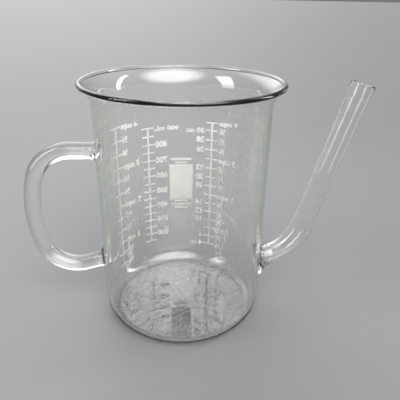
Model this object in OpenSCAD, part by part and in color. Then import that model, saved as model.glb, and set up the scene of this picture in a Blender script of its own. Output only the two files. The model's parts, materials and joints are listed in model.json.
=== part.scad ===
// Measuring beaker with a rod handle and a side spout that draws from near the floor.
// Borosilicate glass, lamp-worked: every glass piece is fused to its neighbour.
// Origin: centre of the base, on the bench. +Z up, spout towards +X, handle towards -X.
// The fired scales are on the +Y side and read from outside.

/* [Beaker] */
// Outside diameter of the straight body
body_od = 105; // [95:1:115]
// Height from the bench to the top of the rim
body_h = 155.5; // [145:0.5:175]
// Thickness of the side wall
wall_t = 1.5; // [1.2:0.1:2.5]
// Thickness of the flat floor
floor_t = 2; // [1.5:0.1:3.5]
// Outside radius where the wall turns into the floor
heel_r = 12; // [8:0.5:12]

/* [Rim] */
// Outside radius of the flare under the rim
flare_r = 15.5; // [12:0.5:20]
// How far the wall has turned outwards when it reaches the bead
flare_turn = 53; // [35:1:65]
// Diameter of the rolled bead
bead_d = 2.8; // [2.4:0.1:3.6]

/* [Handle] */
// Diameter of the solid rod
rod_d = 10.6; // [8:0.2:12]
// Height of the rod's centre where it leaves the wall at the top
handle_z = 112; // [108:1:118]
// Straight run from the wall to the upper bend
handle_reach = 16; // [12:0.5:20]
// Centre-line radius of the upper bend
upper_bend_r = 26; // [22:0.5:30]
// Centre-line radius of the slightly bowed grip
grip_r = 84; // [76:1:90]
// Centre-line radius of the lower bend
lower_bend_r = 22; // [18:0.5:24]
// Diameter of the fused foot where it meets the wall
rod_seal_d = 16.4; // [14:0.2:18]
// Length of the fused foot along the rod
rod_seal_len = 5; // [4:0.5:7]

/* [Spout] */
// Outside diameter of the spout tube
tube_od = 14.4; // [12:0.2:15]
// Wall thickness of the spout tube
tube_t = 1.6; // [1.2:0.1:2.2]
// Height at which the tube's axis meets the outside of the wall
port_z = 36; // [32:0.5:44]
// Rise of the tube above level where it leaves the wall
port_rise = 17.3; // [14:0.1:22]
// Straight stub inside the fused collar
stub_len = 4; // [3:0.5:8]
// Centre-line radius of the spout's bend
spout_bend_r = 35; // [30:0.5:42]
// Height of the centre of the spout's mouth
mouth_z = 154.3; // [140:0.1:160]
// Length of the fused collar along the tube
collar_len = 7; // [5:0.5:9]
// Diameter of the fused collar where it meets the wall
collar_d = 24; // [20:0.5:26]
// Diameter of the fused collar where the tube comes out of it
collar_end_d = 16.6; // [16.2:0.1:18]

/* [Fired markings] */
// Thickness of the fired enamel
enamel_t = 0.2; // [0.15:0.05:0.3]
// Height of a graduation line
tick_h = 1; // [0.6:0.1:1.4]
// Length of a graduation line round the wall
tick_len = 10; // [7:0.5:12]
// Width of the upright line that joins the graduations
spine_w = 1.3; // [0.8:0.1:1.8]
// Direction of the fluid-ounce and quarter-cup scale, from +X towards +Y
ounce_at = 66.7; // [60:0.1:70]
// Direction of the middle of the write-on patch
patch_at = 92; // [90:0.5:94]
// Direction of the millilitre scale
millilitre_at = 119.5; // [117:0.5:124]
// Direction of the third-cup scale
thirds_at = 151; // [148:0.5:154]
// Width of the write-on patch round the wall
patch_w = 18; // [14:0.5:19]
// Height of the write-on patch
patch_h = 29; // [20:1:30]
// Height of the middle of the write-on patch above the bench
patch_z = 69.5; // [65:0.5:75]

/* [Hidden] */
$fn = 96;

GLASS = [0.86, 0.91, 0.88, 0.45];
SEAL_GLASS = [0.80, 0.88, 0.83, 0.6];
ENAMEL = [0.95, 0.95, 0.92];

body_r = body_od / 2;
bore_r = body_r - wall_t;
heel_bore_r = heel_r - wall_t;
tube_id = tube_od - 2 * tube_t;
slack = 5; // how far a cutting shape runs past what it cuts

// Rim: the flare's middle line, and the height where the straight wall ends
flare_mid_r = flare_r + wall_t / 2;
flare_z = body_h - bead_d / 2 - flare_mid_r * sin(flare_turn);

// Turns of the bends, as cosine and sine. All are short exact decimals, so each stretch
// of rod or tube starts exactly where the last one ends.
TURN_33 = [0.8432, 0.5376];
TURN_57 = [0.5376, 0.8432];
TURN_74 = [0.28, 0.96];
TURN_90 = [0, 1];
function degrees(turn) = atan2(turn[1], turn[0]);

// Handle: the rod's heading, from straight out, at the end of each bend
heading_1 = degrees(TURN_74);
heading_2 = heading_1 + degrees(TURN_33);
heading_3 = heading_2 + 90;
// How far out from the wall, and how far down, the rod is when its last bend ends
out_3 = handle_reach + upper_bend_r * sin(heading_1)
      + grip_r * (sin(heading_2) - sin(heading_1))
      + lower_bend_r * (sin(heading_3) - sin(heading_2));
down_3 = upper_bend_r * (1 - cos(heading_1))
       + grip_r * (cos(heading_1) - cos(heading_2))
       + lower_bend_r * (cos(heading_2) - cos(heading_3));
handle_return = -out_3 / cos(heading_3);
handle_low_z = handle_z - down_3 - handle_return * sin(heading_3);
handle_low_rise = heading_3 - 180;

// Spout: the final rise of its long straight run, and the run that brings its mouth to height
spout_rise = port_rise + degrees(TURN_57);
bend_end_z = port_z + stub_len * sin(port_rise)
           + spout_bend_r * (cos(port_rise) - cos(spout_rise));
spout_run = (mouth_z - bend_end_z) / sin(spout_rise);

// Graduations, in millilitres
ML_PER_OUNCE = 29.5735;
ML_PER_CUP = 8 * ML_PER_OUNCE;
millilitre_marks = [for (v = [150 : 50 : 900]) v];
ounce_marks = [for (v = [4 : 2 : 32]) v * ML_PER_OUNCE];
thirds_marks = [for (n = [1 : 12]) n * ML_PER_CUP / 3];
// Level that the missing volume of the rounded heel adds
heel_lift = (1 - PI / 4) * pow(heel_bore_r, 2) * 2 * (bore_r - heel_bore_r / 4) / pow(bore_r, 2);
// Height of the liquid at a volume in millilitres
function level(ml) = floor_t + heel_lift + ml * 1000 / (PI * pow(bore_r, 2));

// Upright half outline of a round cup with a rounded heel, from z0 to z1
module cup_outline(r, heel, z0, z1) {
  translate([0, z0]) square([r - heel, z1 - z0]);
  translate([0, z0 + heel]) square([r, z1 - z0 - heel]);
  translate([r - heel, z0 + heel]) circle(heel);
}

// Flared wall under the rim and the bead that ends it
module rim_outline() {
  far = 2 * flare_mid_r;
  translate([body_r + flare_r, flare_z]) {
    intersection() {
      difference() {
        circle(flare_r + wall_t);
        circle(flare_r);
      }
      polygon([[0, 0], [-far, 0], [-far * cos(flare_turn), far * sin(flare_turn)]]);
    }
    translate([-flare_mid_r * cos(flare_turn), flare_mid_r * sin(flare_turn)]) circle(d = bead_d);
  }
}

// Solid as wide as the body, which shapes every end that is fused to the wall
module wall_cutter() {
  translate([0, 0, -slack]) cylinder(r = body_r, h = body_h + 2 * slack);
}

// Sweeps its 2D child from the origin along +Z. A step is [length] for a straight run,
// or [centre-line radius, turn] for a bend towards +X.
module sweep(steps, i = 0) {
  if (i < len(steps)) {
    step = steps[i];
    if (len(step) == 1) {
      linear_extrude(step[0]) children();
      translate([0, 0, step[0]]) sweep(steps, i + 1) children();
    } else {
      translate([step[0], 0, 0]) {
        rotate([90, 0, 180]) bend(step[0], step[1]) children();
        rotate([0, degrees(step[1]), 0]) translate([-step[0], 0, 0]) sweep(steps, i + 1) children();
      }
    }
  }
}

// Stretch of a ring that runs from +X through a turn
module bend(r, turn) {
  far = 200;
  intersection() {
    rotate(180) rotate_extrude($fn = 240) translate([r, 0]) children();
    translate([0, 0, -far / 2]) linear_extrude(far)
      polygon([[0, 0], [far, 0], [far, far], far * turn]);
  }
}

// Solid foot round an axis along +Z, hollow-curved down to end_d across at its far end.
// It starts at wall_d across just inside the wall, and a skirt runs on into the wall.
module foot(wall_d, end_d, len) {
  sunk = 1;
  drop = (wall_d - end_d) / 2;
  rise = len + sunk;
  curve_r = (pow(drop, 2) + pow(rise, 2)) / (2 * drop);
  rotate_extrude() difference() {
    translate([0, -slack]) square([wall_d / 2, len + slack]);
    translate([end_d / 2 + curve_r, len]) circle(curve_r);
  }
}

// Places where pieces leave the wall, with +Z outwards along the piece
module at_upper_joint() {
  translate([-body_r, 0, handle_z]) rotate([0, -90, 0]) rotate([0, 0, 180]) children();
}
module at_lower_joint() {
  translate([-body_r, 0, handle_low_z]) rotate([0, -90 - handle_low_rise, 0]) children();
}
module at_port() {
  translate([body_r, 0, port_z]) rotate([0, 90 - port_rise, 0]) rotate([0, 0, 180]) children();
}

module beaker_body() {
  color(GLASS) difference() {
    rotate_extrude() {
      difference() {
        cup_outline(body_r, heel_r, 0, flare_z);
        cup_outline(bore_r, heel_bore_r, floor_t, flare_z + slack);
      }
      rim_outline();
    }
    // Port into the spout
    at_port() translate([0, 0, -2 * slack]) cylinder(d = tube_id, h = 3 * slack);
  }
}

module handle_rod() {
  color(GLASS) at_upper_joint() translate([0, 0, rod_seal_len])
    sweep([[handle_reach - rod_seal_len], [upper_bend_r, TURN_74], [grip_r, TURN_33],
           [lower_bend_r, TURN_90], [handle_return - rod_seal_len]]) circle(d = rod_d);
}

module upper_handle_seal() {
  color(SEAL_GLASS) difference() {
    at_upper_joint() foot(rod_seal_d, rod_d, rod_seal_len);
    wall_cutter();
  }
}

module lower_handle_seal() {
  color(SEAL_GLASS) difference() {
    at_lower_joint() foot(rod_seal_d, rod_d, rod_seal_len);
    wall_cutter();
  }
}

// Run of the spout from inside the wall to its mouth, as wide as its 2D child
module spout_sweep() {
  at_port() translate([0, 0, -2 * slack])
    sweep([[stub_len + 2 * slack], [spout_bend_r, TURN_57], [spout_run]]) children();
}

module spout_tube() {
  color(GLASS) difference() {
    spout_sweep() difference() {
      circle(d = tube_od);
      circle(d = tube_id);
    }
    wall_cutter();
  }
}

module spout_seal() {
  color(SEAL_GLASS) difference() {
    at_port() foot(collar_d, collar_end_d, collar_len);
    spout_sweep() circle(d = tube_od);
    wall_cutter();
  }
}

// Enamel in the shape of its 2D child, fired on the outside of the wall. The child's X runs
// to the right round the wall, seen from outside, and its Y is the height above the bench.
module fired(at) {
  color(ENAMEL) intersection() {
    rotate_extrude($fn = 240) translate([body_r, heel_r]) square([enamel_t, flare_z - heel_r]);
    rotate([90, 0, at + 90]) translate([0, 0, body_r / 2]) linear_extrude(body_r) children();
  }
}

// Flat bar, centred on a place
module bar(len, h, z) {
  translate([0, z]) square([len, h], center = true);
}

// Upright line with a graduation across it at each volume
module scale_lines(marks) {
  low = level(min(marks));
  high = level(max(marks));
  bar(spine_w, high - low, (low + high) / 2);
  for (ml = marks) bar(tick_len, tick_h, level(ml));
}

module millilitre_scale() {
  fired(millilitre_at) scale_lines(millilitre_marks);
}

module ounce_scale() {
  fired(ounce_at) scale_lines(ounce_marks);
}

module thirds_cup_scale() {
  fired(thirds_at) scale_lines(thirds_marks);
}

module write_on_patch() {
  fired(patch_at) bar(patch_w, patch_h, patch_z);
}

// Plain rules above and below the patch: [length, height, distance from the patch's edge]
module patch_rules() {
  above = [[9, 1.3, 1.4], [16, 1.8, 4.2]];
  below = [[10, 1.3, 1.4], [16, 1.8, 4.4], [11, 1.3, 7.2]];
  fired(patch_at) {
    for (rule = above) bar(rule[0], rule[1], patch_z + patch_h / 2 + rule[2]);
    for (rule = below) bar(rule[0], rule[1], patch_z - patch_h / 2 - rule[2]);
  }
}

beaker_body();
handle_rod();
upper_handle_seal();
lower_handle_seal();
spout_tube();
spout_seal();
millilitre_scale();
ounce_scale();
thirds_cup_scale();
write_on_patch();
patch_rules();
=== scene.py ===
import json
import math

import bpy
from bpy.props import FloatProperty, FloatVectorProperty, PointerProperty
from mathutils import Matrix, Vector


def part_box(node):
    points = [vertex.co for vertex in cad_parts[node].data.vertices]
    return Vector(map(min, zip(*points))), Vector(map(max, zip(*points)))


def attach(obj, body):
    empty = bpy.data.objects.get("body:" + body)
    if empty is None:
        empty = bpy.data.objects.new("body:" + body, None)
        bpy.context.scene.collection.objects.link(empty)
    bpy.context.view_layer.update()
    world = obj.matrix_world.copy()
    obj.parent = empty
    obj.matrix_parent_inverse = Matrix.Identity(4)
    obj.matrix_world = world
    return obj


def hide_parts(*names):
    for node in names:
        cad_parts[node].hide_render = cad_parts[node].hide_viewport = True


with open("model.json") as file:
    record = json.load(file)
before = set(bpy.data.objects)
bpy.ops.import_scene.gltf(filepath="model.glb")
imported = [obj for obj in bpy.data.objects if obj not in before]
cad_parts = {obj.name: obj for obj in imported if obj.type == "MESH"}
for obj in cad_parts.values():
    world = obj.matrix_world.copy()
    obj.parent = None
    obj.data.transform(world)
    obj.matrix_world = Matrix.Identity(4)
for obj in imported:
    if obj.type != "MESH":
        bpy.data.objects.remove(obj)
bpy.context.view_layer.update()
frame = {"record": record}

bl_info = {
    "name": "Measuring Beaker",
    "version": (1, 0, 0),
    "blender": (4, 5, 0),
    "location": "View3D > Sidebar > Beaker",
    "description": "Lamp-worked glass beaker with a handle, a side spout and fired scales",
    "category": "Add Mesh",
}

BODY = "root"

# Steps round the body, sides of a rod or tube, and steps along its bends and profiles
TURN_STEPS = 288
ROD_SIDES = 96
BEND_STEP = math.radians(3)
ARC_STEPS = 12
SMOOTH_ANGLE = math.radians(32)
# How deep a fused piece is let into the wall, so that the two share one hidden face
LET_IN = 0.00005
# How far the enamel reaches into the glass, and stands out of it
ENAMEL_ROOT = 0.00004
MERGE = 1e-6
# How far inside the wall a foot starts, and how far its hollow curve runs on into the wall
FOOT_ROOT = 0.006
FOOT_SUNK = 0.001
# Rings that the flame leaves round a foot: their depth and pitch
RING_DEPTH = 0.00009
RING_PITCH = 0.0017
# Thin edge of the collar where it runs out on the tube
FEATHER = 0.00006
# How much wider the spout is in its bend, how far up the run it is back to size, and its lip
SWELL = 0.0006
SWELL_RUN_OUT = 0.012
MOUTH_ROUNDING = 0.0006
# Ridge round the spout just past its collar: height, distance from the collar, and half width
RIDGE = 0.00045
RIDGE_AT = 0.0016
RIDGE_WIDTH = 0.0012
# Hollow under the base, and rings up the straight wall
BASE_HOLLOW = 0.0003
WALL_RINGS = 9
# Parts of half a graduation line, and columns of the patch
LINE_PARTS = 4
PATCH_COLUMNS = 14
# Figures: share of the font size that is the height of a figure, added weight, and gap to a line
FIGURE_SHARE = 0.70
FIGURE_WEIGHT = 0.052
FIGURE_GAP = 0.0008
# Plain rules above and below the patch: gap from its edge to the rule's middle, length, height
RULES_ABOVE = ((0.0014, 0.009, 0.0013), (0.0042, 0.016, 0.0018))
RULES_BELOW = ((0.0014, 0.010, 0.0013), (0.0044, 0.016, 0.0018), (0.0072, 0.011, 0.0013))
# Stage: side and drop of the floor, and the point that the soft boxes are aimed at
FLOOR_SIDE = 80
FLOOR_DROP = 0.0001
LIT_POINT = (0, 0, 0.07)
# Room: how bright its walls and ceiling are, and the rise over which the one becomes the other
ROOM_WALL, ROOM_CEILING = 0.16, 0.60
ROOM_RISE = (0.2, 0.9)
# Windows: direction and brightness of each, and the cosines of where they fade out and are full
WINDOWS = (((0.25, -0.80, 0.80), 6.0), ((-0.30, 0.80, 0.75), 2.4))
WINDOW_FADE = (0.74, 0.97)
# Soft boxes: name, place, size and power, and the beam that they share
SOFT_BOXES = (("left_box", (-0.70, -0.30, 0.45), (0.30, 0.80), 1.0),
              ("right_strip", (0.80, 0.15, 0.45), (0.12, 0.80), 0.6))
SOFT_BEAM = math.radians(75)
EXPOSURE = 0.22


# ---------------------------------------------------------------- what the frame says

def mount(name):
    return next(m for m in frame["record"]["mounts"] if m["name"] == name)


def centre(node):
    low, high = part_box(node)
    return (low + high) / 2


def extent(node):
    low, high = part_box(node)
    return high - low


def bore_radius(name):
    return mount(name)["dims"]["r_mm"] / 1000


def bore_ends(name):
    """Centres of the two ends of a bore, the one its axis points to last."""
    hole = mount(name)
    half = Vector(hole["axis"]) * hole["dims"]["length_mm"] / 2000
    middle = Vector(hole["pos_m"])
    return middle - half, middle + half


def direction(node):
    """Direction of a marking from the body's axis, from +X towards +Y."""
    middle = centre(node)
    return math.atan2(middle.y, middle.x)


def mark_heights(node, count):
    """Heights of a scale's evenly spaced lines."""
    low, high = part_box(node)
    line = sizes().line_height
    first, last = low.z + line / 2, high.z - line / 2
    return [first + (last - first) * i / (count - 1) for i in range(count)]


# ---------------------------------------------------------------- sizes and finishes

class BeakerSizes(bpy.types.PropertyGroup):
    wall: FloatProperty(
        name="Wall", description="Thickness of the side wall", default=0.0015, unit="LENGTH")
    floor: FloatProperty(
        name="Floor", description="Thickness of the flat floor", default=0.002, unit="LENGTH")
    bead: FloatProperty(
        name="Bead", description="Diameter of the rolled rim", default=0.0028, unit="LENGTH")
    foot_length: FloatProperty(
        name="Foot length", description="Length of the handle's fused feet along the rod",
        default=0.005, unit="LENGTH")
    foot_width: FloatProperty(
        name="Foot width", description="Diameter of a handle foot where it meets the wall",
        default=0.0164, unit="LENGTH")
    upper_bend: FloatProperty(
        name="Upper bend", description="Radius of the handle's upper bend",
        default=0.026, unit="LENGTH")
    grip_bend: FloatProperty(
        name="Grip bow", description="Radius of the slightly bowed grip",
        default=0.084, unit="LENGTH")
    lower_bend: FloatProperty(
        name="Lower bend", description="Radius of the handle's lower bend",
        default=0.022, unit="LENGTH")
    upper_turn: FloatProperty(
        name="Upper turn", description="Angle that the upper bend turns through",
        default=math.atan2(0.96, 0.28), unit="ROTATION")
    grip_turn: FloatProperty(
        name="Grip turn", description="Angle that the grip's bow turns through",
        default=math.atan2(0.5376, 0.8432), unit="ROTATION")
    lower_turn: FloatProperty(
        name="Lower turn", description="Angle that the lower bend turns through",
        default=math.pi / 2, unit="ROTATION")
    reach: FloatProperty(
        name="Reach", description="Straight run from the wall to the handle's upper bend",
        default=0.016, unit="LENGTH")
    port_rise: FloatProperty(
        name="Port rise", description="Rise of the spout above level where it leaves the wall",
        default=math.radians(17.3), unit="ROTATION")
    spout_bend: FloatProperty(
        name="Spout bend", description="Radius of the spout's bend", default=0.035, unit="LENGTH")
    collar_length: FloatProperty(
        name="Collar length", description="Length of the spout's fused collar",
        default=0.007, unit="LENGTH")
    collar_width: FloatProperty(
        name="Collar width", description="Diameter of the collar where it meets the wall",
        default=0.024, unit="LENGTH")
    line_height: FloatProperty(
        name="Line height", description="Height of a graduation line", default=0.001, unit="LENGTH")
    line_length: FloatProperty(
        name="Line length", description="Length of a graduation line", default=0.010, unit="LENGTH")
    spine_width: FloatProperty(
        name="Spine width", description="Width of the upright line of a scale",
        default=0.0013, unit="LENGTH")
    enamel: FloatProperty(
        name="Enamel", description="Height of the fired enamel above the glass",
        default=0.0002, unit="LENGTH")
    figure_height: FloatProperty(
        name="Figure height", description="Height of the figures beside the scales",
        default=0.0041, unit="LENGTH")


class BeakerFinish(bpy.types.PropertyGroup):
    glass: FloatVectorProperty(
        name="Glass", description="Tint of the clear glass", subtype="COLOR", size=3,
        min=0, max=1, default=(0.985, 0.992, 0.982))
    glass_edge: FloatVectorProperty(
        name="Glass edge", description="Tint of the glass where it is seen edge on",
        subtype="COLOR", size=3, min=0, max=1, default=(0.74, 0.86, 0.62))
    enamel: FloatVectorProperty(
        name="Enamel", description="Colour of the fired enamel", subtype="COLOR", size=3,
        min=0, max=1, default=(0.92, 0.92, 0.88))
    stage_floor: FloatVectorProperty(
        name="Stage floor", description="Colour of the floor that the beaker stands on",
        subtype="COLOR", size=3, min=0, max=1, default=(0.125, 0.126, 0.128))


class StageView(bpy.types.PropertyGroup):
    place: FloatVectorProperty(
        name="Place", description="Where the camera stands", subtype="TRANSLATION", size=3,
        default=(0.002679, -0.250485, 0.198398))
    pitch: FloatProperty(
        name="Pitch", description="How far the camera looks down", default=0.445, unit="ROTATION")
    yaw: FloatProperty(
        name="Yaw", description="How far the camera looks to the right",
        default=0.034, unit="ROTATION")
    roll: FloatProperty(
        name="Roll", description="How far the camera leans to the left",
        default=0.020, unit="ROTATION")
    lens: FloatProperty(
        name="Lens", description="Focal length on a 36 mm sensor", default=38.48, unit="CAMERA")


def sizes():
    return bpy.context.scene.beaker_sizes


def finish():
    return bpy.context.scene.beaker_finish


# ---------------------------------------------------------------- shaders

class Value:
    """A shader socket that takes part in Python arithmetic."""

    def __init__(self, shader, socket):
        self.shader = shader
        self.socket = socket

    def __add__(self, other):
        return self.shader.math("ADD", self, other)

    __radd__ = __add__

    def __sub__(self, other):
        return self.shader.math("SUBTRACT", self, other)

    def __rsub__(self, other):
        return self.shader.math("SUBTRACT", other, self)

    def __mul__(self, other):
        return self.shader.math("MULTIPLY", self, other)

    __rmul__ = __mul__

    def __pow__(self, other):
        return self.shader.math("POWER", self, other)


class Shader:
    """Nodes of one material or world."""

    def __init__(self, owner):
        owner.use_nodes = True
        self.tree = owner.node_tree
        self.tree.nodes.clear()

    def node(self, kind, settings=None, **inputs):
        """Adds a node, sets its properties, then its inputs: spaces in a name are written _."""
        made = self.tree.nodes.new(kind)
        for name, setting in (settings or {}).items():
            setattr(made, name, setting)
        for name, given in inputs.items():
            plain = name.lstrip("_").replace("_", " ")
            socket = made.inputs[int(plain)] if plain.isdigit() else made.inputs[plain]
            if isinstance(given, Value):
                self.tree.links.new(given.socket, socket)
            else:
                socket.default_value = given
        return made

    def math(self, operation, *values):
        numbered = {f"_{i}": value for i, value in enumerate(values)}
        made = self.node("ShaderNodeMath", {"operation": operation}, **numbered)
        return Value(self, made.outputs[0])

    def dot(self, vector, other):
        made = self.node("ShaderNodeVectorMath", {"operation": "DOT_PRODUCT"}, _0=vector, _1=other)
        return Value(self, made.outputs["Value"])

    def place(self):
        return Value(self, self.node("ShaderNodeTexCoord").outputs["Object"])

    def mapped(self, place, scale=(1, 1, 1), location=(0, 0, 0), rotation=(0, 0, 0)):
        made = self.node("ShaderNodeMapping", Vector=place, Scale=scale, Location=location,
                         Rotation=rotation)
        return Value(self, made.outputs[0])

    def noise(self, place, scale, detail=3.0, roughness=0.5, distortion=0.0):
        made = self.node("ShaderNodeTexNoise", Vector=place, Scale=scale, Detail=detail,
                         Roughness=roughness, Distortion=distortion)
        return Value(self, made.outputs["Fac"])

    def between(self, value, low, high, at_low=0.0, at_high=1.0):
        """Goes smoothly from at_low to at_high while value goes from low to high."""
        made = self.node("ShaderNodeMapRange", {"interpolation_type": "SMOOTHSTEP"}, Value=value,
                         From_Min=low, From_Max=high, To_Min=at_low, To_Max=at_high)
        return Value(self, made.outputs[0])

    def blend(self, factor, first, second):
        made = self.node("ShaderNodeMix", {"data_type": "RGBA"}, _0=factor, _6=first, _7=second)
        return Value(self, made.outputs[2])

    def bump(self, height, distance, strength=1.0):
        made = self.node("ShaderNodeBump", Strength=strength, Distance=distance, Height=height)
        return Value(self, made.outputs[0])

    def output(self, kind, surface):
        made = self.node(kind)
        self.tree.links.new(surface.outputs[0], made.inputs["Surface"])


def rgba(colour, share=1.0):
    return tuple(c * share for c in colour) + (1.0,)


def edge_tint(sh, share=1.0):
    """Colour of the glass, which deepens where it is seen edge on."""
    edge = Value(sh, sh.node("ShaderNodeLayerWeight", Blend=0.35).outputs["Facing"])
    return sh.blend(edge ** 2, rgba(finish().glass, share), rgba(finish().glass_edge, share))


def blown_glass():
    """Blown body: faint upright streaks, smudges, and fine scratches all over the floor."""
    if "blown_glass" in bpy.data.materials:
        return bpy.data.materials["blown_glass"]
    material = bpy.data.materials.new("blown_glass")
    sh = Shader(material)
    place = sh.place()
    streaks = sh.noise(sh.mapped(place, scale=(1, 1, 0.05)), 150.0, detail=1.0)
    waves = sh.noise(place, 34.0, detail=0.0)
    smudges = sh.between(sh.noise(place, 60.0, detail=5.0, roughness=0.6), 0.56, 0.78)
    height = Value(sh, sh.node("ShaderNodeSeparateXYZ", Vector=place).outputs["Z"])
    floor = sh.between(height, 0.0045, 0.0025)
    swirl = sh.noise(place, 55.0, detail=5.0, roughness=0.55, distortion=2.5)
    scratches = floor * sh.between(sh.math("ABSOLUTE", swirl - 0.5), 0.010, 0.003)
    surface = sh.node(
        "ShaderNodeBsdfPrincipled", Base_Color=edge_tint(sh), IOR=1.474, Transmission_Weight=1.0,
        Roughness=0.01 + 0.07 * smudges + 0.32 * scratches,
        Normal=sh.bump(0.15 * streaks + waves - 0.15 * scratches, 0.00002))
    sh.output("ShaderNodeOutputMaterial", surface)
    return material


def drawn_glass():
    """Rod and tube drawn from a furnace: almost even, with faint waves and smudges."""
    if "drawn_glass" in bpy.data.materials:
        return bpy.data.materials["drawn_glass"]
    material = bpy.data.materials.new("drawn_glass")
    sh = Shader(material)
    place = sh.place()
    waves = sh.noise(place, 40.0, detail=0.0)
    smudges = sh.between(sh.noise(place, 90.0, detail=5.0, roughness=0.6), 0.58, 0.80)
    surface = sh.node(
        "ShaderNodeBsdfPrincipled", Base_Color=edge_tint(sh), IOR=1.474, Transmission_Weight=1.0,
        Roughness=0.01 + 0.06 * smudges, Normal=sh.bump(waves, 0.00001))
    sh.output("ShaderNodeOutputMaterial", surface)
    return material


def flame_worked_glass():
    """Glass that was worked in the flame: softly rippled."""
    if "flame_worked_glass" in bpy.data.materials:
        return bpy.data.materials["flame_worked_glass"]
    material = bpy.data.materials.new("flame_worked_glass")
    sh = Shader(material)
    place = sh.place()
    ripples = sh.noise(place, 300.0, detail=1.0, distortion=0.4)
    waves = sh.noise(place, 110.0, detail=0.0)
    surface = sh.node(
        "ShaderNodeBsdfPrincipled", Base_Color=edge_tint(sh, 0.99), IOR=1.474,
        Transmission_Weight=1.0,
        Roughness=0.01 + 0.05 * sh.between(ripples, 0.5, 0.8),
        Normal=sh.bump(0.4 * ripples + waves, 0.0002))
    sh.output("ShaderNodeOutputMaterial", surface)
    return material


def fused_face():
    """Hidden face between two pieces that are melted into one: light goes straight through."""
    if "fused_face" in bpy.data.materials:
        return bpy.data.materials["fused_face"]
    material = bpy.data.materials.new("fused_face")
    sh = Shader(material)
    surface = sh.node("ShaderNodeBsdfPrincipled", Alpha=0.0, Roughness=0.0, IOR=1.0)
    sh.output("ShaderNodeOutputMaterial", surface)
    return material


def fired_enamel():
    """Fired screen-printed enamel: satin, slightly uneven, with pinholes."""
    if "fired_enamel" in bpy.data.materials:
        return bpy.data.materials["fired_enamel"]
    material = bpy.data.materials.new("fired_enamel")
    sh = Shader(material)
    place = sh.place()
    mottle = sh.noise(place, 900.0, detail=3.0)
    pinholes = sh.between(sh.noise(place, 2600.0, detail=1.0), 0.72, 0.80)
    tone = sh.blend(sh.between(mottle, 0.3, 0.7), rgba(finish().enamel),
                    rgba(finish().enamel, 0.93))
    surface = sh.node(
        "ShaderNodeBsdfPrincipled",
        Base_Color=sh.blend(pinholes * 0.5, tone, rgba(finish().enamel, 0.7)),
        Roughness=0.42 + 0.15 * mottle, IOR=1.5,
        Normal=sh.bump(mottle - pinholes * 0.6, 0.00004, 0.6))
    sh.output("ShaderNodeOutputMaterial", surface)
    return material


def writing_enamel():
    """Rough matt enamel that takes a pencil."""
    if "writing_enamel" in bpy.data.materials:
        return bpy.data.materials["writing_enamel"]
    material = bpy.data.materials.new("writing_enamel")
    sh = Shader(material)
    place = sh.place()
    tooth = sh.noise(place, 3500.0, detail=2.0)
    cloud = sh.noise(place, 180.0, detail=4.0)
    tone = sh.blend(sh.between(cloud, 0.35, 0.7), rgba(finish().enamel),
                    rgba(finish().enamel, 0.92))
    surface = sh.node(
        "ShaderNodeBsdfPrincipled", Base_Color=tone, Roughness=0.72 + 0.2 * cloud, IOR=1.5,
        Normal=sh.bump(tooth, 0.00005, 0.8))
    sh.output("ShaderNodeOutputMaterial", surface)
    return material


# ---------------------------------------------------------------- modelling

def editing(on):
    bpy.ops.object.mode_set(mode="EDIT" if on else "OBJECT")


def only(piece):
    """Makes piece the one selected, active object."""
    bpy.ops.object.select_all(action="DESELECT")
    piece.select_set(True)
    bpy.context.view_layer.objects.active = piece


def settle(piece):
    """Moves a piece's place into its mesh."""
    only(piece)
    bpy.ops.object.transform_apply(location=True, rotation=True, scale=True)
    return piece


def apply_modifier(piece, kind, **settings):
    only(piece)
    bpy.ops.object.modifier_add(type=kind)
    made = piece.modifiers[-1]
    for name, setting in settings.items():
        setattr(made, name, setting)
    bpy.ops.object.modifier_apply(modifier=made.name)


def select_faces(piece, wanted):
    """Selects the faces of a piece, in object mode, for which wanted(face) is true."""
    editing(True)
    bpy.ops.mesh.select_mode(type="FACE")
    bpy.ops.mesh.select_all(action="DESELECT")
    editing(False)
    for face in piece.data.polygons:
        face.select = wanted(face)


def select_edges(piece, wanted):
    """Selects the edges of a piece, in object mode, for which wanted(first, second) is true."""
    editing(True)
    bpy.ops.mesh.select_mode(type="EDGE")
    bpy.ops.mesh.select_all(action="DESELECT")
    editing(False)
    points = piece.data.vertices
    for edge in piece.data.edges:
        edge.select = wanted(*(points[i].co for i in edge.vertices))


def add_material(piece, material):
    piece.data.materials.append(material)
    return len(piece.data.materials) - 1


def fuse_faces(piece, wanted):
    """Gives the chosen faces the material of a hidden, melted face."""
    slot = add_material(piece, fused_face())
    only(piece)
    select_faces(piece, wanted)
    piece.active_material_index = slot
    editing(True)
    bpy.ops.object.material_slot_assign()
    editing(False)


def close_up(piece):
    """Merges doubles and turns all faces outwards."""
    only(piece)
    editing(True)
    bpy.ops.mesh.select_all(action="SELECT")
    bpy.ops.mesh.remove_doubles(threshold=MERGE)
    bpy.ops.mesh.normals_make_consistent(inside=False)
    editing(False)


def cut(piece, cutter):
    """Takes cutter out of piece. The new faces keep the cutter's material."""
    apply_modifier(piece, "BOOLEAN", operation="DIFFERENCE", solver="EXACT",
                   material_mode="TRANSFER", object=cutter)
    bpy.data.objects.remove(cutter)


def hand_over(piece, name, slot, *nodes):
    """Names a finished piece, smooths it and ties it to the frame."""
    settle(piece)
    bpy.ops.object.shade_smooth_by_angle(angle=SMOOTH_ANGLE)
    piece.name = name
    piece.data.name = name
    if nodes:
        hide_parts(*nodes)
    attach(piece, BODY)


def arc(middle, radius, start, end, steps=ARC_STEPS):
    """Points (r, z) round an arc, from one angle to another."""
    return [(middle[0] + radius * math.cos(start + (end - start) * i / steps),
             middle[1] + radius * math.sin(start + (end - start) * i / steps))
            for i in range(steps + 1)]


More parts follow.
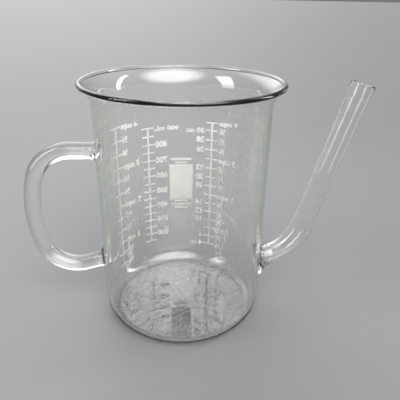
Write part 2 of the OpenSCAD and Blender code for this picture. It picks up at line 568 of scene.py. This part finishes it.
def spun(outline, material):
    """Piece made by spinning an outline of (r, z) points, from axis to axis, about Z."""
    bpy.ops.object.select_all(action="DESELECT")
    r, z = outline[0]
    bpy.ops.mesh.primitive_plane_add(size=MERGE, location=(r, 0, z))
    editing(True)
    bpy.ops.mesh.select_mode(type="VERT")
    bpy.ops.mesh.select_all(action="SELECT")
    bpy.ops.mesh.merge(type="CENTER")
    for next_r, next_z in outline[1:]:
        bpy.ops.mesh.extrude_region_move(
            TRANSFORM_OT_translate={"value": (next_r - r, 0, next_z - z)})
        r, z = next_r, next_z
    bpy.ops.mesh.select_all(action="SELECT")
    bpy.ops.mesh.spin(steps=TURN_STEPS, angle=2 * math.pi, center=(0, 0, 0), axis=(0, 0, 1))
    editing(False)
    piece = settle(bpy.context.object)
    close_up(piece)
    add_material(piece, material)
    return piece


class Station:
    """A place along a route in the XZ plane: its point, its heading from +X towards +Z, and
    how far along the route it is."""

    def __init__(self, point, heading, along):
        self.point = point
        self.heading = heading
        self.along = along

    @property
    def ahead(self):
        return Vector((math.cos(self.heading), 0, math.sin(self.heading)))

    def straight(self, length):
        return Station(self.point + self.ahead * length, self.heading, self.along + length)

    def bend(self, radius, turn):
        """The place after a bend to the left."""
        left = Vector((-math.sin(self.heading), 0, math.cos(self.heading)))
        pivot = self.point + left * radius
        heading = self.heading + turn
        out = Vector((math.sin(heading), 0, -math.cos(heading)))
        return Station(pivot + out * radius, heading, self.along + radius * turn)


def route(start, steps):
    """Stations along a route. A step is (length, count) for a straight run in that many parts,
    or (radius, turn, count) for a bend."""
    stations = [start]
    for *step, count in steps:
        here = stations[-1]
        for i in range(1, count + 1):
            part = i / count
            if len(step) == 1:
                stations.append(here.straight(step[0] * part))
            else:
                stations.append(here.bend(step[0], step[1] * part))
    return stations


def ring(station, radius, filled):
    """Adds a ring across the route and stays in edit mode with it selected."""
    bpy.ops.object.select_all(action="DESELECT")
    bpy.ops.mesh.primitive_circle_add(
        vertices=ROD_SIDES, radius=radius, fill_type="NGON" if filled else "NOTHING",
        location=station.point, rotation=(0, math.pi / 2 - station.heading, 0))
    editing(True)
    bpy.ops.mesh.select_mode(type="EDGE")
    bpy.ops.mesh.select_all(action="SELECT")


def carry_on(stations, radii):
    """Extrudes the selected ring from the first station through the others."""
    for i in range(1, len(stations)):
        here, there = stations[i - 1], stations[i]
        bpy.ops.mesh.extrude_region_move(TRANSFORM_OT_translate={"value": there.point - here.point})
        bpy.ops.transform.rotate(value=there.heading - here.heading, orient_axis="Y",
                                 center_override=there.point)
        bpy.ops.transform.resize(value=(radii[i] / radii[i - 1],) * 3, center_override=there.point)


def drawn(stations, radii, material, filled=True):
    """Rod that follows the stations, with a radius at each, or only its skin."""
    ring(stations[0], radii[0], filled)
    carry_on(stations, radii)
    editing(False)
    piece = settle(bpy.context.object)
    close_up(piece)
    add_material(piece, material)
    return piece


def wall_plug():
    """Solid as wide as the wall's let-in faces, which shapes whatever is fused to the wall."""
    bpy.ops.object.select_all(action="DESELECT")
    height = extent("beaker_body").z
    bpy.ops.mesh.primitive_cylinder_add(vertices=TURN_STEPS, radius=body_radius() - LET_IN,
                                        depth=2 * height, location=(0, 0, height / 2))
    piece = settle(bpy.context.object)
    add_material(piece, fused_face())
    return piece


def body_radius():
    return bore_radius("beaker_bore") + sizes().wall


# ---------------------------------------------------------------- routes and outlines

def handle_route():
    """The rod's middle line from the wall to the wall, out of the upper foot and into the lower."""
    s = sizes()
    top = centre("upper_handle_seal").z
    wall = -body_radius()
    stations = route(Station(Vector((wall, 0, top)), math.pi, 0), [
        (s.foot_length, 1),
        (s.foot_length, 16),
        (s.reach - 2 * s.foot_length, 4),
        (s.upper_bend, s.upper_turn, round(s.upper_turn / BEND_STEP)),
        (s.grip_bend, s.grip_turn, round(s.grip_turn / BEND_STEP) * 2),
        (s.lower_bend, s.lower_turn, round(s.lower_turn / BEND_STEP)),
    ])
    last = stations[-1]
    back = (wall - last.point.x) / math.cos(last.heading)
    return stations[:-1] + route(last, [
        (back - 2 * s.foot_length, 3), (s.foot_length, 16), (s.foot_length, 1)])


def foot_start(station):
    """The place inside the wall where a foot or collar is begun."""
    return station.straight(-FOOT_ROOT)


def foot_radii(stations, wall_r, end_r, length):
    """Radii of a hollow-curved foot that is end_r wide where it ends, with faint rings from the
    flame."""
    drop = wall_r - end_r
    rise = length + FOOT_SUNK
    curve = (drop ** 2 + rise ** 2) / (2 * drop)
    radii = []
    for station in stations:
        left = min(length - station.along, rise)
        hollow = end_r + curve - math.sqrt(curve ** 2 - left ** 2)
        rings = (RING_DEPTH * math.sin(math.pi * left / length)
                 * math.sin(2 * math.pi * left / RING_PITCH))
        radii.append(hollow + (rings if station.along > 0 else 0))
    return radii


def handle_foot(wall_station, material):
    """Foot of the handle on the wall, from a station whose heading points away from the wall."""
    s = sizes()
    wall_station = Station(wall_station.point, wall_station.heading, 0)
    stations = route(foot_start(wall_station), [(FOOT_ROOT, 4), (s.foot_length, 16)])
    radii = foot_radii(stations, s.foot_width / 2, rod_radius(), s.foot_length)
    foot = drawn(stations, radii, material)
    end = stations[-1]
    fuse_faces(foot, lambda face: (face.center - end.point).dot(end.ahead) > -MERGE)
    cut(foot, wall_plug())
    return foot


def rod_radius():
    return extent("handle_rod").y / 2


def handle_joints():
    """The two stations on the wall, both heading away from it."""
    stations = handle_route()
    last = stations[-1]
    return stations[0], Station(last.point, last.heading - math.pi, 0)


def spout_route():
    """The spout's middle line from inside the wall to its mouth."""
    s = sizes()
    run_start, mouth = bore_ends("spout_mouth")
    run = mouth - run_start
    rise = math.atan2(run.z, run.x)
    turn = rise - s.port_rise
    bend_end = Station(run_start, rise, 0)
    bend_start = bend_end.bend(s.spout_bend, -turn)
    stub = (bend_start.point.x - body_radius()) / math.cos(s.port_rise)
    port = Station(bend_start.straight(-stub).point, s.port_rise, 0)
    collar_turn = (s.collar_length - stub) / s.spout_bend
    return route(foot_start(port), [
        (FOOT_ROOT, 4),
        (stub, 14),
        (s.spout_bend, collar_turn, 10),
        (s.spout_bend, turn - collar_turn, round((turn - collar_turn) / BEND_STEP) * 3),
        (run.length, 24),
    ])


def collar_stations():
    end = sizes().collar_length + MERGE
    return [station for station in spout_route() if station.along < end]


def collar_radii(stations):
    s = sizes()
    return foot_radii(stations, s.collar_width / 2, tube_radius() + FEATHER, s.collar_length)


def tube_radius():
    return extent("spout_tube").y / 2


def body_outline():
    """Half section (r, z) of the body, from the base's centre, out, up, over the rim and back."""
    s = sizes()
    bore_r, out_r = bore_radius("beaker_bore"), body_radius()
    low, high = (end.z for end in bore_ends("beaker_bore"))
    mid_r = (bore_r + out_r) / 2
    bead_r = s.bead / 2
    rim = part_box("beaker_body")[1]
    bead = (rim.x - bead_r, rim.z - bead_r)
    # The flare is the one arc that leaves the wall upright and ends in the bead's centre
    turn = 2 * math.atan2(bead[0] - mid_r, bead[1] - high)
    flare = (bead[1] - high) / math.sin(turn)
    hub = (mid_r + flare, high)
    facing = math.pi / 2 - turn
    tuck = math.asin(s.wall / s.bead)
    met = math.pi - turn + bead_r * math.cos(tuck) / flare
    bore_heel = low - s.floor
    heel = bore_heel + s.wall
    heights = [low + (high - low) * i / WALL_RINGS for i in range(1, WALL_RINGS)]
    outline = [(0, BASE_HOLLOW), (0.6 * out_r, BASE_HOLLOW * 0.6), (out_r - heel, 0)]
    outline += arc((out_r - heel, heel), heel, -math.pi / 2, 0)[1:]
    outline += [(out_r, z) for z in heights]
    outline += arc(hub, flare - s.wall / 2, math.pi, met)[:-1]
    outline += arc(bead, bead_r, facing - math.pi + tuck, facing + math.pi - tuck, 2 * ARC_STEPS)
    outline += arc(hub, flare + s.wall / 2, met, math.pi)[1:]
    outline += [(bore_r, z) for z in reversed(heights)]
    outline += arc((bore_r - bore_heel, low), bore_heel, 0, -math.pi / 2)
    return outline + [(0.5 * out_r, s.floor), (0, s.floor)]


# ---------------------------------------------------------------- markings, laid out flat

def flat_plane(x, z, width, height, columns=1, rows=1):
    """Adds a flat bar in the layout of the markings: X to the right, Z up, seen from -Y."""
    bpy.ops.object.select_all(action="DESELECT")
    bpy.ops.mesh.primitive_grid_add(x_subdivisions=columns, y_subdivisions=rows, size=1,
                                    location=(x, ENAMEL_ROOT, z), rotation=(math.pi / 2, 0, 0))
    editing(True)
    bpy.ops.transform.resize(value=(width, 1, height), center_override=(x, 0, z))
    editing(False)
    return settle(bpy.context.object)


def flat_scale(heights):
    """Graduation lines joined by an upright line."""
    s = sizes()
    half = s.spine_width / 2
    piece = flat_plane(0, heights[0], s.spine_width, s.line_height)
    top = heights[0] + s.line_height / 2
    select_edges(piece, lambda a, b: min(a.z, b.z) > top - MERGE)
    editing(True)
    for below, above in zip(heights, heights[1:]):
        bpy.ops.mesh.extrude_region_move(
            TRANSFORM_OT_translate={"value": (0, 0, above - below - s.line_height)})
        bpy.ops.mesh.extrude_region_move(TRANSFORM_OT_translate={"value": (0, 0, s.line_height)})
    editing(False)
    out = (s.line_length - s.spine_width) / 2 / LINE_PARTS
    for side in (-1, 1):
        def on_a_line(a, b, x=side * half):
            middle = (a.z + b.z) / 2
            return (max(abs(a.x - x), abs(b.x - x)) < MERGE
                    and min(abs(middle - z) for z in heights) < MERGE * 10)
        select_edges(piece, on_a_line)
        editing(True)
        for _ in range(LINE_PARTS):
            bpy.ops.mesh.extrude_region_move(TRANSFORM_OT_translate={"value": (side * out, 0, 0)})
        editing(False)
    return piece


def thicken(piece):
    """Gives flat enamel its thickness and soft edges."""
    s = sizes()
    close_flat(piece)
    apply_modifier(piece, "SOLIDIFY", thickness=s.enamel + ENAMEL_ROOT, offset=1)
    apply_modifier(piece, "BEVEL", width=s.enamel * 0.4, segments=2, limit_method="ANGLE",
                   angle_limit=math.radians(60))


def close_flat(piece):
    """Makes a flat piece face outwards, to -Y."""
    only(piece)
    editing(True)
    bpy.ops.mesh.select_all(action="SELECT")
    bpy.ops.mesh.remove_doubles(threshold=MERGE)
    bpy.ops.mesh.normals_make_consistent(inside=False)
    editing(False)
    if piece.data.polygons[0].normal.y > 0:
        editing(True)
        bpy.ops.mesh.flip_normals()
        editing(False)


def wrap(piece, at):
    """Bends a flat marking round the wall and turns it to its direction."""
    across = [vertex.co.x for vertex in piece.data.vertices]
    radius = body_radius()
    apply_modifier(piece, "SIMPLE_DEFORM", deform_method="BEND", deform_axis="Z",
                   angle=(max(across) - min(across)) / radius)
    piece.location = (0, -radius, 0)
    settle(piece)
    piece.rotation_euler = (0, 0, at + math.pi / 2)
    settle(piece)


def flat_words(words, x, z, align):
    """Figures in the flat layout, level with a graduation line, as a mesh."""
    s = sizes()
    size = s.figure_height / FIGURE_SHARE
    bpy.ops.object.select_all(action="DESELECT")
    bpy.ops.object.text_add(location=(x, (ENAMEL_ROOT - s.enamel) / 2, z - s.figure_height / 2),
                            rotation=(math.pi / 2, 0, 0))
    text = bpy.context.object
    text.data.body = words
    text.data.size = size
    text.data.align_x = align
    text.data.resolution_u = 3
    text.data.offset = FIGURE_WEIGHT * size
    text.data.extrude = (s.enamel + ENAMEL_ROOT) / 2
    bpy.ops.object.convert(target="MESH")
    return settle(bpy.context.object)


def joined(pieces):
    bpy.ops.object.select_all(action="DESELECT")
    for piece in pieces:
        piece.select_set(True)
    bpy.context.view_layer.objects.active = pieces[0]
    bpy.ops.object.join()
    return pieces[0]


def figures(node, words, align):
    """Figures of one scale, beside its lines and wrapped round the wall. Words are the labels of
    its marks, lowest first, with None where a mark has no figures."""
    s = sizes()
    heights = mark_heights(node, len(words))
    side = -1 if align == "RIGHT" else 1
    x = side * (s.line_length / 2 + FIGURE_GAP)
    made = [flat_words(word, x, z, align) for word, z in zip(words, heights) if word]
    piece = joined(made)
    close_up(piece)
    add_material(piece, fired_enamel())
    wrap(piece, direction(node))
    return piece


def cup_words(cups, names):
    """Labels of a cup scale, lowest first: whole cups in full, parts of a cup as fractions."""
    parts = len(names) + 1
    return [names[i % parts - 1] if i % parts else f"{i // parts} cup" + "s" * (i > parts)
            for i in range(1, cups * parts + 1)]


# Names, nodes and numbers of lines of the scales
SCALES = (("millilitre_lines", "millilitre_scale", 16), ("ounce_lines", "ounce_scale", 15),
          ("third_cup_lines", "thirds_cup_scale", 12))
MILLILITRES = [None if ml % 100 else f"{ml} mL" if ml == 900 else str(ml)
               for ml in range(150, 901, 50)]
OUNCES = [None if oz % 8 == 0 else f"{oz} oz" if oz in (4, 30) else str(oz)
          for oz in range(4, 33, 2)]
# Names of the figures, the scale they belong to, its labels, and how they are aligned to it
FIGURES = (("millilitre_figures", "millilitre_scale", MILLILITRES, "RIGHT"),
           ("ounce_figures", "ounce_scale", OUNCES, "LEFT"),
           ("cup_figures", "ounce_scale", cup_words(4, "\u00bc\u00bd\u00be")[1:], "RIGHT"),
           ("third_cup_figures", "thirds_cup_scale", cup_words(4, "\u2153\u2154"), "RIGHT"))


# ---------------------------------------------------------------- the pieces

class BEAKER_OT_body(bpy.types.Operator):
    """Blown body with its rolled rim, bored for the spout and let in where pieces are fused on"""
    bl_idname = "beaker.body"
    bl_label = "Body"

    def execute(self, context):
        body = spun(body_outline(), blown_glass())
        for joint in handle_joints():
            cut(body, handle_foot(joint, fused_face()))
        stations = collar_stations()
        collar = drawn(stations, collar_radii(stations), fused_face())
        cut(collar, wall_plug())
        cut(body, collar)
        stations = [station for station in stations if station.heading == stations[0].heading]
        bore = [bore_radius("spout_mouth")] * len(stations)
        cut(body, drawn(stations, bore, blown_glass()))
        hand_over(body, "glass_body", "clear_glass", "beaker_body")
        return {"FINISHED"}


class BEAKER_OT_handle(bpy.types.Operator):
    """Solid glass rod, bent to a grip"""
    bl_idname = "beaker.handle"
    bl_label = "Handle rod"

    def execute(self, context):
        stations = handle_route()[1:-1]
        rod_r = rod_radius()
        length = stations[-1].along
        foot = sizes().foot_length
        radii = []
        for station in stations:
            near = min(station.along - foot, length - station.along) / foot
            rings = RING_DEPTH * max(0, 1 - near) * math.sin(2 * math.pi * near * foot / RING_PITCH)
            radii.append(rod_r + rings)
        rod = drawn(stations, radii, drawn_glass())
        fuse_faces(rod, lambda face: len(face.vertices) > 4)
        hand_over(rod, "glass_handle", "clear_glass", "handle_rod")
        return {"FINISHED"}


class BEAKER_OT_handle_feet(bpy.types.Operator):
    """Fused feet between the handle and the wall"""
    bl_idname = "beaker.handle_feet"
    bl_label = "Handle feet"

    def execute(self, context):
        upper, lower = handle_joints()
        hand_over(handle_foot(upper, flame_worked_glass()), "upper_handle_foot", "seal_glass",
                  "upper_handle_seal")
        hand_over(handle_foot(lower, flame_worked_glass()), "lower_handle_foot", "seal_glass",
                  "lower_handle_seal")
        return {"FINISHED"}


class BEAKER_OT_spout(bpy.types.Operator):
    """Spout tube, slightly swollen in its bend, with a fire-polished mouth"""
    bl_idname = "beaker.spout"
    bl_label = "Spout tube"

    def execute(self, context):
        s = sizes()
        stations = spout_route()
        tube_r, bore_r = tube_radius(), bore_radius("spout_mouth")
        run = mount("spout_mouth")["dims"]["length_mm"] / 1000
        mouth = stations[-1]
        bend_end = mouth.along - run
        radii = []
        for station in stations:
            past = station.along - s.collar_length
            part = min(max(past / (bend_end + SWELL_RUN_OUT - s.collar_length), 0), 1)
            ridge = RIDGE * math.exp(-((past - RIDGE_AT) / RIDGE_WIDTH) ** 2) if past > MERGE else 0
            radii.append(tube_r + SWELL * math.sin(math.pi * part) ** 2 + ridge)
        tube = drawn(stations, radii, drawn_glass(), filled=False)
        apply_modifier(tube, "SOLIDIFY", thickness=tube_r - bore_r, offset=-1, use_even_offset=True)
        self.polish(tube, mouth)
        collared = collar_stations()
        skin = (tube_r + bore_r) / 2

        def in_collar(face):
            across = face.center - nearest(collared, face.center).point
            behind = (face.center - collared[-1].point).dot(collared[-1].ahead) < 0
            return behind and across.length > skin
        fuse_faces(tube, in_collar)
        cut(tube, wall_plug())
        hand_over(tube, "glass_spout", "clear_glass", "spout_tube")
        return {"FINISHED"}

    def polish(self, tube, mouth):
        """Rounds the two edges of the mouth."""
        def on_mouth_circle(a, b):
            ahead = min((p - mouth.point).dot(mouth.ahead) for p in (a, b))
            uneven = abs((a - mouth.point).length - (b - mouth.point).length)
            return ahead > -MERGE * 10 and uneven < MERGE * 10
        select_edges(tube, on_mouth_circle)
        editing(True)
        bpy.ops.mesh.bevel(offset=MOUTH_ROUNDING, segments=5, affect="EDGES")
        editing(False)


def nearest(stations, point):
    return min(stations, key=lambda station: (station.point - point).length_squared)


class BEAKER_OT_spout_collar(bpy.types.Operator):
    """Fused collar round the foot of the spout"""
    bl_idname = "beaker.spout_collar"
    bl_label = "Spout collar"

    def execute(self, context):
        stations = collar_stations()
        tube_r = tube_radius()
        ring(stations[0], collar_radii(stations)[0], filled=False)
        back = list(reversed(stations))
        carry_on(stations + back, collar_radii(stations) + [tube_r] * len(back))
        bpy.ops.mesh.select_all(action="DESELECT")
        bpy.ops.mesh.select_mode(type="EDGE")
        bpy.ops.mesh.select_non_manifold()
        bpy.ops.mesh.bridge_edge_loops()
        editing(False)
        collar = settle(bpy.context.object)
        close_up(collar)
        add_material(collar, flame_worked_glass())

        def on_tube(face):
            points = [collar.data.vertices[i].co for i in face.vertices]
            return all((p - nearest(stations, p).point).length < tube_r + FEATHER / 2
                       for p in points)
        fuse_faces(collar, on_tube)
        cut(collar, wall_plug())
        hand_over(collar, "spout_collar", "seal_glass", "spout_seal")
        return {"FINISHED"}


class BEAKER_OT_scales(bpy.types.Operator):
    """Graduation lines of the three fired scales"""
    bl_idname = "beaker.scales"
    bl_label = "Graduation lines"

    def execute(self, context):
        for name, node, marks in SCALES:
            piece = flat_scale(mark_heights(node, marks))
            thicken(piece)
            add_material(piece, fired_enamel())
            wrap(piece, direction(node))
            hand_over(piece, name, "white_enamel", node)
        return {"FINISHED"}


class BEAKER_OT_figures(bpy.types.Operator):
    """Figures and units beside the graduation lines"""
    bl_idname = "beaker.figures"
    bl_label = "Figures"

    def execute(self, context):
        for name, node, words, align in FIGURES:
            hand_over(figures(node, words, align), name, "white_enamel")
        return {"FINISHED"}


class BEAKER_OT_patch(bpy.types.Operator):
    """Matt patch to write on"""
    bl_idname = "beaker.patch"
    bl_label = "Writing patch"

    def execute(self, context):
        low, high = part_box("write_on_patch")
        at = direction("write_on_patch")
        size = extent("write_on_patch")
        width = 2 * body_radius() * math.asin(size.x / 2 / (high.y * abs(math.sin(at))))
        piece = flat_plane(0, (low.z + high.z) / 2, width, size.z, PATCH_COLUMNS, PATCH_COLUMNS)
        thicken(piece)
        add_material(piece, writing_enamel())
        wrap(piece, at)
        hand_over(piece, "writing_patch", "white_enamel", "write_on_patch")
        return {"FINISHED"}


class BEAKER_OT_rules(bpy.types.Operator):
    """Plain rules above and below the patch"""
    bl_idname = "beaker.rules"
    bl_label = "Plain rules"

    def execute(self, context):
        low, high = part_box("write_on_patch")
        bars = [(high.z + gap, length, height) for gap, length, height in RULES_ABOVE]
        bars += [(low.z - gap, length, height) for gap, length, height in RULES_BELOW]
        piece = joined([flat_plane(0, z, length, height, PATCH_COLUMNS)
                        for z, length, height in bars])
        thicken(piece)
        add_material(piece, fired_enamel())
        wrap(piece, direction("write_on_patch"))
        hand_over(piece, "plain_rules", "white_enamel", "patch_rules")
        return {"FINISHED"}


# ---------------------------------------------------------------- the stage

def stage_floor():
    """Plain grey matt floor."""
    material = bpy.data.materials.new("stage_floor")
    sh = Shader(material)
    place = sh.place()
    grain = sh.noise(place, 900.0, detail=2.0)
    tone = sh.blend(grain, rgba(finish().stage_floor), rgba(finish().stage_floor, 0.97))
    surface = sh.node("ShaderNodeBsdfPrincipled", Base_Color=tone, Roughness=0.6,
                      Normal=sh.bump(grain, 0.00005, 0.3))
    sh.output("ShaderNodeOutputMaterial", surface)
    return material


def studio():
    """Grey room with a large soft window behind the camera, a dimmer one opposite, and a bright
    ceiling."""
    world = bpy.data.worlds.new("studio")
    sh = Shader(world)
    ahead = Value(sh, sh.node("ShaderNodeTexCoord").outputs["Generated"])
    up = Value(sh, sh.node("ShaderNodeSeparateXYZ", Vector=ahead).outputs["Z"])
    light = sh.between(up, *ROOM_RISE, ROOM_WALL, ROOM_CEILING)
    for towards, power in WINDOWS:
        facing = sh.dot(ahead, Vector(towards).normalized())
        light = light + power * sh.between(facing, *WINDOW_FADE)
    surface = sh.node("ShaderNodeBackground", Color=(1.0, 1.0, 1.01, 1.0), Strength=light)
    sh.output("ShaderNodeOutputWorld", surface)
    return world


def soft_light(name, place, size, power):
    """Rectangular soft box that points at the beaker."""
    light = bpy.data.lights.new(name, "AREA")
    light.shape = "RECTANGLE"
    light.size, light.size_y = size
    light.energy = power
    light.spread = SOFT_BEAM
    box = bpy.data.objects.new(name, light)
    box.location = place
    box.rotation_euler = (Vector(LIT_POINT) - box.location).to_track_quat("-Z", "Y").to_euler()
    box.visible_camera = False
    bpy.context.scene.collection.objects.link(box)


class BEAKER_OT_stage(bpy.types.Operator):
    """Floor, soft lights and camera"""
    bl_idname = "beaker.stage"
    bl_label = "Stage"

    def execute(self, context):
        bpy.ops.object.select_all(action="DESELECT")
        bpy.ops.mesh.primitive_plane_add(size=FLOOR_SIDE, location=(0, 0, -FLOOR_DROP))
        floor = settle(bpy.context.object)
        floor.name = "stage_floor"
        add_material(floor, stage_floor())
        context.scene.world = studio()
        for box in SOFT_BOXES:
            soft_light(*box)
        context.scene.view_settings.view_transform = "Standard"
        context.scene.view_settings.exposure = EXPOSURE
        context.scene.cycles.sample_clamp_indirect = 0
        self.camera(context.scene)
        return {"FINISHED"}

    def camera(self, scene):
        view = scene.beaker_view
        camera = bpy.data.cameras.new("camera")
        camera.lens = view.lens
        camera.sensor_width = 36
        camera.clip_start = 0.005
        eye = bpy.data.objects.new("camera", camera)
        eye.matrix_world = (Matrix.Translation(view.place)
                            @ Matrix.Rotation(-view.yaw, 4, "Z")
                            @ Matrix.Rotation(math.pi / 2 - view.pitch, 4, "X")
                            @ Matrix.Rotation(view.roll, 4, "Z"))
        scene.collection.objects.link(eye)
        scene.camera = eye


class BEAKER_PT_panel(bpy.types.Panel):
    """Lists the pieces of the beaker"""
    bl_idname = "BEAKER_PT_panel"
    bl_label = "Measuring beaker"
    bl_space_type = "VIEW_3D"
    bl_region_type = "UI"
    bl_category = "Beaker"

    def draw(self, context):
        for made in OPERATORS:
            self.layout.operator(made.bl_idname, text=made.bl_label)


OPERATORS = (BEAKER_OT_body, BEAKER_OT_handle, BEAKER_OT_handle_feet, BEAKER_OT_spout,
             BEAKER_OT_spout_collar, BEAKER_OT_scales, BEAKER_OT_figures, BEAKER_OT_patch,
             BEAKER_OT_rules, BEAKER_OT_stage)
CLASSES = (BeakerSizes, BeakerFinish, StageView) + OPERATORS + (BEAKER_PT_panel,)


def register():
    for made in CLASSES:
        bpy.utils.register_class(made)
    bpy.types.Scene.beaker_sizes = PointerProperty(type=BeakerSizes)
    bpy.types.Scene.beaker_finish = PointerProperty(type=BeakerFinish)
    bpy.types.Scene.beaker_view = PointerProperty(type=StageView)


def unregister():
    del bpy.types.Scene.beaker_sizes, bpy.types.Scene.beaker_finish, bpy.types.Scene.beaker_view
    for made in reversed(CLASSES):
        bpy.utils.unregister_class(made)


def main():
    register()
    for made in OPERATORS:
        group, name = made.bl_idname.split(".")
        getattr(getattr(bpy.ops, group), name)()


if __name__ == "__main__":
    main()
